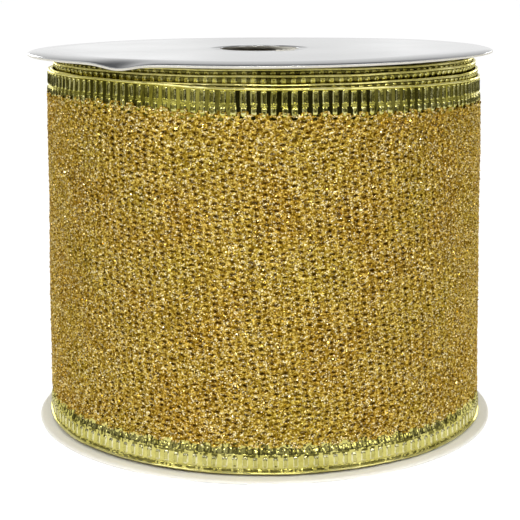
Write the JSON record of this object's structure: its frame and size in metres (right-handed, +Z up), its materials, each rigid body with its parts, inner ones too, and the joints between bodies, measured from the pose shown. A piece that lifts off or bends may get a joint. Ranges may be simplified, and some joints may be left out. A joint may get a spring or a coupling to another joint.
{
  "type": "ribbon spool",
  "caption": "Wired gold mesh ribbon with foil edges, wound on a hollow card core between round white card ends; its taped tail peels off the back of the roll.",
  "frame": {"origin": "centre of the underside, on the spindle axis", "axes": "+Z up along the spindle hole, out through the top card end; -Y faces the viewer; the free tail lies behind, on the +Y side"},
  "size_m": [0.083, 0.083, 0.0667],
  "materials": {
    "card_white": "white coated board, raw cut edges",
    "gloss_film": "clear gloss lamination over white",
    "kraft_tube": "spiral-wound kraft, matt",
    "hot_melt": "amber hot-melt, satin",
    "paper_tape": "crepe paper tape, matt",
    "gold_mesh": "knitted metallised yarn net with glitter",
    "foil_band": "metallised foil selvedge, embossed, shiny",
    "edge_wire": "fine drawn wire",
    "clear_tape": "clear adhesive tape"
  },
  "bodies": {
    "spool": {"bottom_flange_film": "gloss_film", "bottom_flange_card": "card_white", "top_flange_card": "card_white", "top_flange_film": "gloss_film", "core_tube": "kraft_tube", "bottom_glue_bead": "hot_melt", "top_glue_bead": "hot_melt", "ribbon_start_tape": "paper_tape", "inner_windings_mesh": "gold_mesh", "inner_windings_top_band": "foil_band", "inner_windings_bottom_band": "foil_band", "inner_windings_top_wire": "edge_wire", "inner_windings_bottom_wire": "edge_wire", "third_winding_mesh": "gold_mesh", "third_winding_top_band": "foil_band", "third_winding_bottom_band": "foil_band", "third_winding_top_wire": "edge_wire", "third_winding_bottom_wire": "edge_wire", "second_winding_mesh": "gold_mesh", "second_winding_top_band": "foil_band", "second_winding_bottom_band": "foil_band", "second_winding_top_wire": "edge_wire", "second_winding_bottom_wire": "edge_wire", "outer_winding_mesh": "gold_mesh", "outer_winding_top_band": "foil_band", "outer_winding_bottom_band": "foil_band", "outer_winding_top_wire": "edge_wire", "outer_winding_bottom_wire": "edge_wire"},
    "tail_root": {"tail_root_mesh": "gold_mesh", "tail_root_top_band": "foil_band", "tail_root_bottom_band": "foil_band", "tail_root_top_wire": "edge_wire", "tail_root_bottom_wire": "edge_wire"},
    "tail_middle": {"tail_middle_mesh": "gold_mesh", "tail_middle_top_band": "foil_band", "tail_middle_bottom_band": "foil_band", "tail_middle_top_wire": "edge_wire", "tail_middle_bottom_wire": "edge_wire"},
    "tail_end": {"tail_end_mesh": "gold_mesh", "tail_end_top_band": "foil_band", "tail_end_bottom_band": "foil_band", "tail_end_top_wire": "edge_wire", "tail_end_bottom_wire": "edge_wire", "closure_tape": "clear_tape"}
  },
  "joints": [
    {"name": "tail_peel", "type": "hinge", "parent": "spool", "child": "tail_root", "pos_m": [0.01849, 0.03445, 0.0323], "axis": [0, 0, -1], "range_deg": [0, 30]},
    {"name": "tail_middle_bend", "type": "hinge", "parent": "tail_root", "child": "tail_middle", "pos_m": [0.0022, 0.03904, 0.0323], "axis": [0, 0, -1], "range_deg": [0, 30]},
    {"name": "tail_end_bend", "type": "hinge", "parent": "tail_middle", "child": "tail_end", "pos_m": [-0.01451, 0.03631, 0.0323], "axis": [0, 0, -1], "range_deg": [0, 30]}
  ],
  "couplings": [
    {"joint": "tail_middle_bend", "follows": "tail_peel", "ratio": 1},
    {"joint": "tail_end_bend", "follows": "tail_peel", "ratio": 1}
  ]
}
